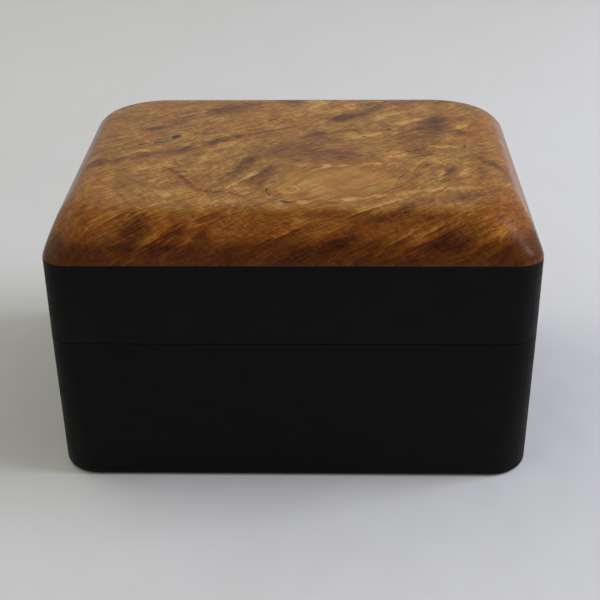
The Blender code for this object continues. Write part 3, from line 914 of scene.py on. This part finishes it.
def soft_slab(size, edge, crown):
    """A flat-backed slab in bmesh, thickness along Z from 0, with round edges and a crowned face."""
    bm = bmesh.new()

    def ring(inset, radius, z):
        return rounded_ring(bm, size.x / 2 - inset, size.y / 2 - inset, radius, z)

    rings = [ring(edge * 0.4, SLAB_CORNER, 0)]
    for i in range(SLAB_EDGE_STEPS + 1):
        angle = math.radians(90) * i / SLAB_EDGE_STEPS
        inset = edge * (1 - math.cos(angle))
        height = size.z - edge - crown + edge * math.sin(angle)
        rings.append(ring(inset, SLAB_CORNER + (edge - inset) * 0.3, height))
    shortest = min(size.x, size.y) / 2 - edge
    for share in (0.04, 0.12, 0.25, 0.45, 0.7, 0.95):
        lift = crown * (1 - (1 - share) ** 3)
        rings.append(ring(edge + shortest * share, SLAB_CORNER * (1 - share), size.z - crown + lift))
    for lower, upper in zip(rings, rings[1:]):
        bridge(bm, lower, upper)
    bm.faces.new(reversed(rings[0]))
    bm.faces.new(rings[-1])
    return bm


def lining_board(part, side, material):
    """A board wrapped in suede, flat against its wall and soft on the side that shows."""
    node = f"{part}_lining_{side}"
    low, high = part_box(node)
    size = high - low
    facing = INWARD[side]
    along = size.x if facing.y else size.y
    thick = size.y if facing.y else size.x
    bm = soft_slab(Vector((along, size.z, thick)), BOARD_EDGE, BOARD_CROWN)
    up = Vector((0, 0, 1))
    turn = Matrix((up.cross(facing), up, facing)).transposed()
    bmesh.ops.rotate(bm, verts=bm.verts, matrix=turn)
    centre = (low + high) / 2 - facing * thick / 2
    bmesh.ops.translate(bm, verts=bm.verts, vec=centre)
    finish_piece(new_object(f"suede_{node}", bm), part, material, node)


def puff(pad):
    """Swells the pad as pressurised cloth, keeping every point within a small reach of its start."""
    before = [v.co.copy() for v in pad.data.vertices]
    cloth = pad.modifiers.new("puff", "CLOTH")
    cloth.settings.use_pressure = True
    cloth.settings.uniform_pressure_force = PAD_PRESSURE
    cloth.settings.effector_weights.gravity = 0
    scene = bpy.context.scene
    for number in range(1, PAD_FRAMES + 1):
        scene.frame_set(number)
    applied(pad, 80)
    scene.frame_set(1)
    for vertex, start in zip(pad.data.vertices, before):
        move = vertex.co - start
        if move.length > PAD_ROOM:
            move *= PAD_ROOM / move.length
        vertex.co = start + move
        vertex.co.z = max(vertex.co.z, 0)


def pillow_pad(part, material):
    """The loose pad of the floor or the lid: foam under suede, blown up a little as cloth."""
    node = f"{part}_pad"
    low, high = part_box(node)
    bm = soft_slab(high - low - Vector((2 * PAD_MARGIN, 2 * PAD_MARGIN, PAD_ROOM)), PAD_EDGE, PAD_CROWN)
    pad = new_object(f"suede_{part}_pad", bm)
    remesh = pad.modifiers.new("remesh", "REMESH")
    remesh.mode = "VOXEL"
    remesh.voxel_size = PAD_VOXEL
    applied(pad, 80)
    puff(pad)
    smooth = pad.modifiers.new("fine", "SUBSURF")
    smooth.levels = smooth.render_levels = 1
    applied(pad, 80)
    turn = Matrix.Identity(4) if part == "base" else Matrix.Rotation(math.pi, 4, "X")
    back = low.z if part == "base" else high.z
    place = Vector(((low.x + high.x) / 2, (low.y + high.y) / 2, back))
    pad.data.transform(Matrix.Translation(place) @ turn)
    finish_piece(pad, part, material, node)


# ---------------------------------------------------------------- brass hinges


def brass_material():
    """Brushed brass, a little tarnished."""
    g = Surface("brass", Metallic=1.0, Specular_IOR_Level=0.5)
    brushed = g.noise(g.turned(g.millimetres, 0, (9, 0.12, 0.12)), detail=2)
    tarnish = g.noise(g.millimetres, 3.5, 4)
    bright = g.mix(g.remap(tarnish, 0.45, 0.75), (0.80, 0.60, 0.29), (0.55, 0.37, 0.15))
    g.set("Base Color", bright)
    g.set("Roughness", g.math("MULTIPLY_ADD", brushed, 0.2, g.remap(tarnish, 0.3, 0.8, 0.16, 0.38)))
    g.bump(brushed, 0.006)
    return g.material


def knuckle_centres(first):
    """Where every second knuckle is along the pin, from the first one on."""
    return [(i + 0.5) * KNUCKLE_PITCH - HINGE_LENGTH / 2 for i in range(first, KNUCKLES, 2)]


def turned_solid(bm, outline, sides=48):
    """Adds a solid of revolution about Z from (radius, height) points, whose first and last radius is 0."""
    rings = []
    for radius, height in outline[1:-1]:
        ring = []
        for i in range(sides):
            angle = 2 * math.pi * i / sides
            ring.append(bm.verts.new((radius * math.cos(angle), radius * math.sin(angle), height)))
        rings.append(ring)
    for lower, upper in zip(rings, rings[1:]):
        bridge(bm, lower, upper)
    for ring, height in ((rings[0], outline[0][1]), (rings[-1], outline[-1][1])):
        tip = bm.verts.new((0, 0, height))
        for i in range(sides):
            bm.faces.new((ring[i], ring[(i + 1) % sides], tip))
    bmesh.ops.recalc_face_normals(bm, faces=bm.faces)


def turned_along_x(outline, x=0.0):
    """The same solid about X, moved along it."""
    bm = bmesh.new()
    turned_solid(bm, outline)
    bmesh.ops.rotate(bm, verts=bm.verts, matrix=Matrix.Rotation(math.radians(90), 3, "Y"))
    bmesh.ops.translate(bm, verts=bm.verts, vec=(x, 0, 0))
    return bm


def leaf_plate(name, face):
    """The plate of a leaf below the pin, with its two free corners rounded and its rim eased."""
    bm = bmesh.new()
    half = HINGE_LENGTH / 2
    box_mesh(bm, Vector((-half, -LEAF_REACH, face - LEAF_THICKNESS)), Vector((half, 0, face)))
    upright = [
        e for e in bm.edges
        if abs(e.verts[0].co.z - e.verts[1].co.z) > 1e-6 and e.verts[0].co.y < -0.001
    ]
    bmesh.ops.bevel(bm, geom=upright, offset=LEAF_CORNER, segments=5, profile=0.5, affect="EDGES")
    rim = [e for e in bm.edges if all(abs(v.co.z - face) < 1e-6 and v.co.y < 0 for v in e.verts)]
    bmesh.ops.bevel(bm, geom=rim, offset=LEAF_EASED, segments=2, profile=0.5, affect="EDGES")
    return new_object(name, bm, 30)


def rod_tool(x, radius, length):
    bm = bmesh.new()
    rod_mesh(bm, Vector((x, 0, 0)), radius, length)
    return bm


def countersink(x, face):
    """The shape of a screw hole with its countersink."""
    head = SCREW_HEAD_RADIUS + SCREW_HEAD_ROOM
    hole = SCREW_RADIUS + SCREW_ROOM
    bm = bmesh.new()
    turned_solid(bm, ((0, 0.01), (head, 0.01), (head, -0.0002), (hole, -0.0011), (hole, -0.01), (0, -0.01)))
    bmesh.ops.translate(bm, verts=bm.verts, vec=(x, -SCREW_FROM_AXIS, face))
    return bm


def hinge_leaf(name, own_first, other_first):
    """A leaf with its knuckles, pin bore and countersinks, with the pin on X and the plate below it."""
    face = -LEAF_GAP / 2
    leaf = leaf_plate(name, face)
    for x in knuckle_centres(other_first):
        boolean(leaf, "DIFFERENCE", rod_tool(x, KNUCKLE_RADIUS + NOTCH_ROOM, KNUCKLE_PITCH + NOTCH_ROOM))
    reach = KNUCKLE_PITCH / 2 - KNUCKLE_ROOM
    side = (
        (KNUCKLE_RADIUS - KNUCKLE_CHAMFER, -reach), (KNUCKLE_RADIUS, KNUCKLE_CHAMFER - reach),
        (KNUCKLE_RADIUS, reach - KNUCKLE_CHAMFER), (KNUCKLE_RADIUS - KNUCKLE_CHAMFER, reach),
    )
    for x in knuckle_centres(own_first):
        boolean(leaf, "UNION", turned_along_x(((0, -reach), *side, (0, reach)), x))
    boolean(leaf, "DIFFERENCE", rod_tool(0, PIN_RADIUS + PIN_ROOM, HINGE_LENGTH * 1.5))
    for x in (-SCREW_SPACING, 0, SCREW_SPACING):
        boolean(leaf, "DIFFERENCE", countersink(x, face))
    return leaf


def hinge_screw(name, turn):
    """A countersunk slotted screw, head up at the origin, its slot turned by so many degrees."""
    bm = bmesh.new()
    head = SCREW_HEAD_RADIUS
    outline = (
        (0, 0), (head - 0.0003, 0), (head, -0.00015), (head, -0.0002), (SCREW_RADIUS, -0.001),
        (SCREW_RADIUS, -0.006), (0.0001, -0.0085), (0, -0.0085),
    )
    turned_solid(bm, outline)
    screw = new_object(name, bm, 30)
    slot = bmesh.new()
    box_mesh(slot, Vector((-0.004, -0.00025, -0.0005)), Vector((0.004, 0.00025, 0.01)))
    bmesh.ops.rotate(slot, verts=slot.verts, matrix=Matrix.Rotation(math.radians(turn), 3, "Z"))
    return boolean(screw, "DIFFERENCE", slot)


def hinge_pin(name):
    """The pin, headed at both ends."""
    half = HINGE_LENGTH / 2 + 0.00012
    end = half + PIN_HEAD_LENGTH
    side = (
        (PIN_RADIUS, half), (PIN_HEAD_RADIUS, half), (PIN_HEAD_RADIUS, end - 0.0004),
        (PIN_HEAD_RADIUS - 0.00015, end - 0.00012), (PIN_HEAD_RADIUS - 0.0005, end),
    )
    outline = [(0, -end)] + [(r, -x) for r, x in reversed(side)] + list(side) + [(0, end)]
    return new_object(name, turned_along_x(outline), 30)


def place_metal(piece, part, centre, material, node):
    """Stands a piece that was made for the base's leaf in its place, turned over if it is the lid's."""
    if part == "lid":
        piece.data.transform(Matrix.Scale(-1, 4, (0, 0, 1)))
        piece.data.flip_normals()
    piece.data.transform(centre)
    finish_piece(piece, part, material, node)


def hinges(material):
    """Two butt hinges, each of two leaves, six screws and a pin."""
    for side, sign in (("left", -1), ("right", 1)):
        centre = Matrix.Translation(AXIS + Vector((sign * HINGE_OFFSET_X, 0, 0)))
        for first, part in enumerate(("base", "lid")):
            leaf = hinge_leaf(f"brass_{side}_{part}_leaf", first, 1 - first)
            place_metal(leaf, part, centre, material, f"hinge_{side}_{part}_leaf")
            for number, x in enumerate((-SCREW_SPACING, 0, SCREW_SPACING), start=1):
                turn = (number * 67 + 31 * first + 45 * (sign > 0)) % 180
                screw = hinge_screw(f"brass_{side}_{part}_screw_{number}", turn)
                seat = Matrix.Translation((x, -SCREW_FROM_AXIS, -LEAF_GAP / 2 - SCREW_SUNK))
                screw.data.transform(seat)
                place_metal(screw, part, centre, material, f"hinge_{side}_{part}_screw_{number}")
        place_metal(hinge_pin(f"brass_{side}_pin"), "base", centre, material, f"hinge_{side}_pin")


# ---------------------------------------------------------------- plywood and splines


def plywood_material():
    """The birch face of the bottom panel, its grain along X."""
    g = Surface("birch_plywood", Roughness=0.6, Specular_IOR_Level=0.3)
    grain = g.noise(g.turned(wander(g, g.millimetres, 30, 4), 0, (60, 1.6, 10)), detail=5)
    flecks = g.noise(g.turned(g.millimetres, 2, (3.5, 0.35, 3)), detail=2)
    tone = g.math("MULTIPLY_ADD", g.math("SUBTRACT", flecks, 0.5), 0.3, grain)
    face = g.ramp(
        tone, (0.3, (0.42, 0.29, 0.16)), (0.5, (0.60, 0.45, 0.28)), (0.75, (0.70, 0.55, 0.37))
    )
    g.set("Base Color", face)
    g.bump(tone, 0.04)
    return g.material


def spline_material():
    """Splines under the same black stain, a shade paler."""
    g = Surface("stained_spline", Roughness=0.55, Specular_IOR_Level=0.15)
    grain = g.noise(g.turned(g.millimetres, 45, (0.5, 4, 4)), detail=3)
    g.set("Base Color", g.mix(grain, (0.006, 0.005, 0.005), (0.016, 0.012, 0.01)))
    g.bump(grain, 0.02)
    return g.material


def dress_cad_nodes():
    """Gives the CAD nodes that stay in view their materials."""
    plywood = plywood_material()
    stained = spline_material()
    for name, obj in frame["nodes"].items():
        if name == "bottom_panel" or "_spline_" in name:
            obj.data.materials.clear()
            obj.data.materials.append(plywood if name == "bottom_panel" else stained)


# ---------------------------------------------------------------- stage, light and camera


FLOOR_HALF = 20.0
WINDOW_COLOUR = (0.88, 0.89, 1.0)
WALL_COLOUR = (1.0, 0.97, 0.78)
CAMERA_PLACE = (0.010699, -0.38441, 0.243723)
CAMERA_LENS = 74.37
CAMERA_PITCH = math.radians(28.518)
CAMERA_YAW = math.radians(-1.442)
CAMERA_ROLL = math.radians(-0.598)


def studio():
    """A wide, plain, pale floor."""
    g = Surface("studio_paper", Roughness=0.9, Specular_IOR_Level=0.15)
    mottle = g.noise(g.millimetres, 140, 3)
    g.set("Base Color", g.mix(mottle, (0.72, 0.727, 0.735), (0.76, 0.765, 0.772)))
    g.bump(g.noise(g.millimetres, 70, 3), 2.5)
    bm = bmesh.new()
    bmesh.ops.create_grid(bm, x_segments=24, y_segments=24, size=FLOOR_HALF)
    floor = new_object("studio_floor", bm, 30)
    floor.data.materials.append(g.material)


def soft_light(name, place, size, watts, colour, shines=True):
    """A rectangular area light aimed at the box. It isn't seen in reflections unless it shines."""
    light = bpy.data.lights.new(name, "AREA")
    light.shape = "RECTANGLE"
    light.size, light.size_y = size
    light.energy = watts
    light.color = colour
    obj = bpy.data.objects.new(name, light)
    obj.location = place
    obj.rotation_euler = (-Vector(place)).to_track_quat("-Z", "Y").to_euler()
    obj.visible_camera = False
    obj.visible_glossy = shines
    bpy.context.scene.collection.objects.link(obj)


def room():
    """The light of the room by direction: pale behind and at the sides, dim overhead and in front."""
    world = bpy.data.worlds.new("room")
    world.use_nodes = True
    bpy.context.scene.world = world
    g = Graph(world.node_tree)
    x, y, z = g.split(g.node("ShaderNodeTexCoord").outputs["Generated"])
    behind = g.math("MULTIPLY", g.remap(y, 0.05, 0.7), g.remap(z, 0.8, 0.5))
    right = g.remap(x, 0.4, 0.85)
    left = g.remap(x, -0.4, -0.85)
    glow = g.mix(behind, (0.29, 0.285, 0.27), (0.46, 0.46, 0.45))
    glow = g.mix(right, glow, (0.64, 0.64, 0.67))
    glow = g.mix(left, glow, (0.70, 0.69, 0.58))
    background = world.node_tree.nodes["Background"]
    g.link(glow, background.inputs["Color"])


def lights():
    """A window at the right, small where it is mirrored and large where it lights, and a pale wall."""
    soft_light("window", (0.93, -0.06, 0.72), (0.16, 0.3), 1.0, WINDOW_COLOUR)
    soft_light("window_fill", (0.93, -0.02, 0.72), (0.6, 0.45), 7.8, WINDOW_COLOUR, shines=False)
    soft_light("wall_bounce", (-0.75, 0.35, 0.95), (0.9, 0.8), 2.2, WALL_COLOUR, shines=False)
    room()


def camera():
    """The camera: in front, a little to the right and above, looking down."""
    flat = math.cos(CAMERA_PITCH)
    forward = Vector((math.sin(CAMERA_YAW) * flat, math.cos(CAMERA_YAW) * flat, -math.sin(CAMERA_PITCH)))
    level = Vector((math.cos(CAMERA_YAW), -math.sin(CAMERA_YAW), 0))
    upright = level.cross(forward)
    right = level * math.cos(CAMERA_ROLL) + upright * math.sin(CAMERA_ROLL)
    up = upright * math.cos(CAMERA_ROLL) - level * math.sin(CAMERA_ROLL)
    turn = Matrix((right, up, -forward)).transposed().to_4x4()
    data = bpy.data.cameras.new("camera")
    data.lens = CAMERA_LENS
    data.sensor_width = 36
    obj = bpy.data.objects.new("camera", data)
    obj.matrix_world = Matrix.Translation(CAMERA_PLACE) @ turn
    bpy.context.scene.collection.objects.link(obj)
    bpy.context.scene.camera = obj
    bpy.context.scene.view_settings.view_transform = "Standard"


# ---------------------------------------------------------------- the whole box


def lining():
    """Suede over the boards and pads of the base and the lid."""
    suede = suede_material()
    for part in ("base", "lid"):
        for side in SIDES:
            lining_board(part, side, suede)
        pillow_pad(part, suede)


burl_slab(burl_material())
black_walls(black_material())
lining()
hinges(brass_material())
dress_cad_nodes()
studio()
lights()
camera()
